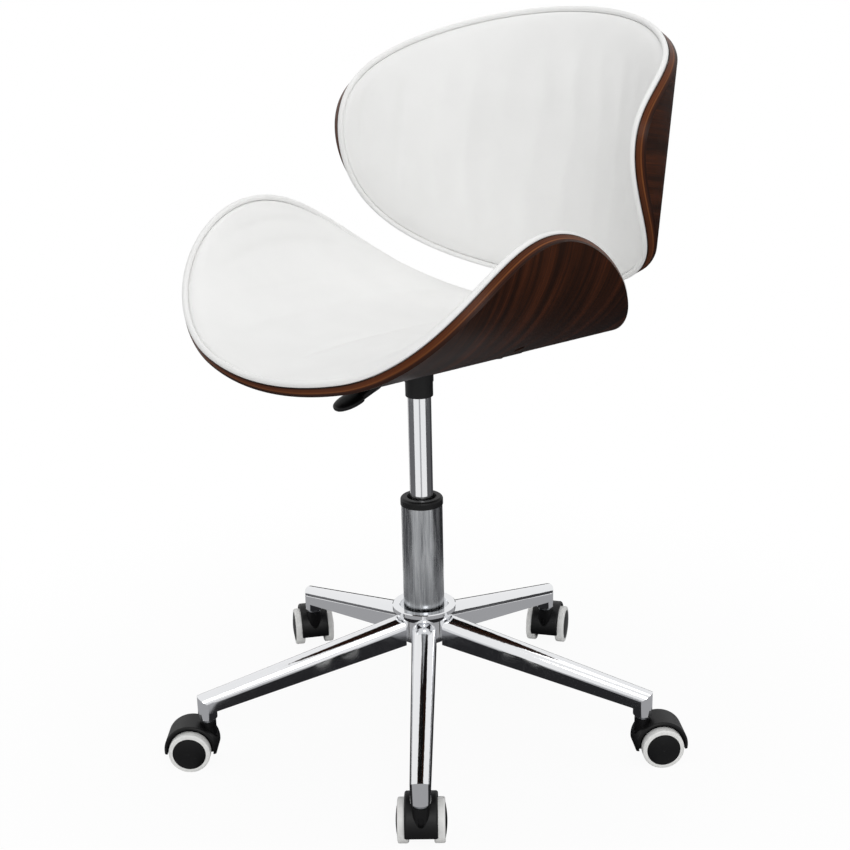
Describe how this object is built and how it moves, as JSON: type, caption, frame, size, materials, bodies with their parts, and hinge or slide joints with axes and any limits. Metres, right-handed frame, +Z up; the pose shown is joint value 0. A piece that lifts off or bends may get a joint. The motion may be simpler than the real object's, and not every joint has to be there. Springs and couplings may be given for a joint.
{
  "type": "office chair",
  "caption": "Swivel office chair with bent walnut seat and back shells, white padded covers, a gas lift with a height lever and a chrome star base on twin-wheel castors.",
  "frame": {"origin": "on the floor, on the axis of the lift", "axes": "+Z up, the sitter faces -Y, +X to the sitter's left"},
  "size_m": [0.6246, 0.614, 0.8657],
  "materials": {
    "walnut": "satin lacquered walnut veneer",
    "cover": "white coated fabric, fine grain",
    "chrome": "polished",
    "steel": "zinc plated",
    "black_steel": "matt black powder coat",
    "black_nylon": "moulded, fine texture",
    "white_tread": "soft polyurethane"
  },
  "bodies": {
    "base": {"base_hub": "chrome", "base_arm_1": "chrome", "base_arm_2": "chrome", "base_arm_3": "chrome", "base_arm_4": "chrome", "base_arm_5": "chrome", "outer_column": "chrome", "guide_bush": "black_nylon", "thrust_bearing": "steel", "castor_stems": "steel"},
    "spindle": {"piston_rod": "steel", "rod_clip": "steel"},
    "seat": {"gas_cylinder": "chrome", "seat_plate": "black_steel", "plate_bolts": "black_steel", "pad_screws": "black_steel", "seat_shell": "walnut", "seat_pad": "cover", "seat_welt": "cover", "back_shell": "walnut", "back_pad": "cover", "back_welt": "cover", "back_bracket": "black_steel", "bracket_bolts": "black_steel", "lever_pivot": "steel"},
    "lever": {"lever_rod": "steel", "lever_handle": "black_nylon"},
    "valve": {"release_pin": "steel"},
    "castor_1": {"castor_hood_1": "black_nylon", "castor_axle_1": "steel"},
    "wheel_left_1": {"wheel_core_left_1": "black_nylon", "wheel_tread_left_1": "white_tread"},
    "wheel_right_1": {"wheel_core_right_1": "black_nylon", "wheel_tread_right_1": "white_tread"},
    "castor_2": {"castor_hood_2": "black_nylon", "castor_axle_2": "steel"},
    "wheel_left_2": {"wheel_core_left_2": "black_nylon", "wheel_tread_left_2": "white_tread"},
    "wheel_right_2": {"wheel_core_right_2": "black_nylon", "wheel_tread_right_2": "white_tread"},
    "castor_3": {"castor_hood_3": "black_nylon", "castor_axle_3": "steel"},
    "wheel_left_3": {"wheel_core_left_3": "black_nylon", "wheel_tread_left_3": "white_tread"},
    "wheel_right_3": {"wheel_core_right_3": "black_nylon", "wheel_tread_right_3": "white_tread"},
    "castor_4": {"castor_hood_4": "black_nylon", "castor_axle_4": "steel"},
    "wheel_left_4": {"wheel_core_left_4": "black_nylon", "wheel_tread_left_4": "white_tread"},
    "wheel_right_4": {"wheel_core_right_4": "black_nylon", "wheel_tread_right_4": "white_tread"},
    "castor_5": {"castor_hood_5": "black_nylon", "castor_axle_5": "steel"},
    "wheel_left_5": {"wheel_core_left_5": "black_nylon", "wheel_tread_left_5": "white_tread"},
    "wheel_right_5": {"wheel_core_right_5": "black_nylon", "wheel_tread_right_5": "white_tread"}
  },
  "joints": [
    {"name": "seat_swivel", "type": "hinge", "parent": "base", "child": "spindle", "pos_m": [0, 0, 0.14], "axis": [0, 0, 1], "continuous": true},
    {"name": "seat_height", "type": "slide", "parent": "spindle", "child": "seat", "axis": [0, 0, 1], "range_m": [-0.12, 0]},
    {"name": "lever_lift", "type": "hinge", "parent": "seat", "child": "lever", "pos_m": [-0.00518, -0.01932, 0.4738], "axis": [-0.9659, 0.2588, 0], "range_deg": [0, 8], "stiffness_Nm_per_rad": 2},
    {"name": "valve_press", "type": "slide", "parent": "seat", "child": "valve", "axis": [0, 0, 1], "range_m": [-0.003, 0]},
    {"name": "castor_swivel_1", "type": "hinge", "parent": "base", "child": "castor_1", "pos_m": [0.17119, -0.21522, 0.045], "axis": [0, 0, 1], "continuous": true},
    {"name": "wheel_spin_left_1", "type": "hinge", "parent": "castor_1", "child": "wheel_left_1", "pos_m": [0.15798, -0.1989, 0.025], "axis": [-0.7771, -0.6293, 0], "continuous": true},
    {"name": "wheel_spin_right_1", "type": "hinge", "parent": "castor_1", "child": "wheel_right_1", "pos_m": [0.15798, -0.1989, 0.025], "axis": [-0.7771, -0.6293, 0], "continuous": true},
    {"name": "castor_swivel_2", "type": "hinge", "parent": "base", "child": "castor_2", "pos_m": [0.25758, 0.09631, 0.045], "axis": [0, 0, 1], "continuous": true},
    {"name": "wheel_spin_left_2", "type": "hinge", "parent": "castor_2", "child": "wheel_left_2", "pos_m": [0.27269, 0.11089, 0.025], "axis": [-0.6947, 0.7193, 0], "continuous": true},
    {"name": "wheel_spin_right_2", "type": "hinge", "parent": "castor_2", "child": "wheel_right_2", "pos_m": [0.27269, 0.11089, 0.025], "axis": [-0.6947, 0.7193, 0], "continuous": true},
    {"name": "castor_swivel_3", "type": "hinge", "parent": "base", "child": "castor_3", "pos_m": [-0.012, 0.27474, 0.045], "axis": [0, 0, 1], "continuous": true},
    {"name": "wheel_spin_left_3", "type": "hinge", "parent": "castor_3", "child": "wheel_left_3", "pos_m": [-0.02087, 0.29377, 0.025], "axis": [-0.9063, -0.4226, 0], "continuous": true},
    {"name": "wheel_spin_right_3", "type": "hinge", "parent": "castor_3", "child": "wheel_right_3", "pos_m": [-0.02087, 0.29377, 0.025], "axis": [-0.9063, -0.4226, 0], "continuous": true},
    {"name": "castor_swivel_4", "type": "hinge", "parent": "base", "child": "castor_4", "pos_m": [-0.265, 0.07349, 0.045], "axis": [0, 0, 1], "continuous": true},
    {"name": "wheel_spin_left_4", "type": "hinge", "parent": "castor_4", "child": "wheel_left_4", "pos_m": [-0.28132, 0.08671, 0.025], "axis": [-0.6293, -0.7771, 0], "continuous": true},
    {"name": "wheel_spin_right_4", "type": "hinge", "parent": "castor_4", "child": "wheel_right_4", "pos_m": [-0.28132, 0.08671, 0.025], "axis": [-0.6293, -0.7771, 0], "continuous": true},
    {"name": "castor_swivel_5", "type": "hinge", "parent": "base", "child": "castor_5", "pos_m": [-0.15178, -0.22932, 0.045], "axis": [0, 0, 1], "continuous": true},
    {"name": "wheel_spin_left_5", "type": "hinge", "parent": "castor_5", "child": "wheel_left_5", "pos_m": [-0.1681, -0.24253, 0.025], "axis": [0.6293, -0.7771, 0], "continuous": true},
    {"name": "wheel_spin_right_5", "type": "hinge", "parent": "castor_5", "child": "wheel_right_5", "pos_m": [-0.1681, -0.24253, 0.025], "axis": [0.6293, -0.7771, 0], "continuous": true}
  ],
  "couplings": [
    {"joint": "valve_press", "follows": "lever_lift", "m_per_rad": -0.02}
  ]
}
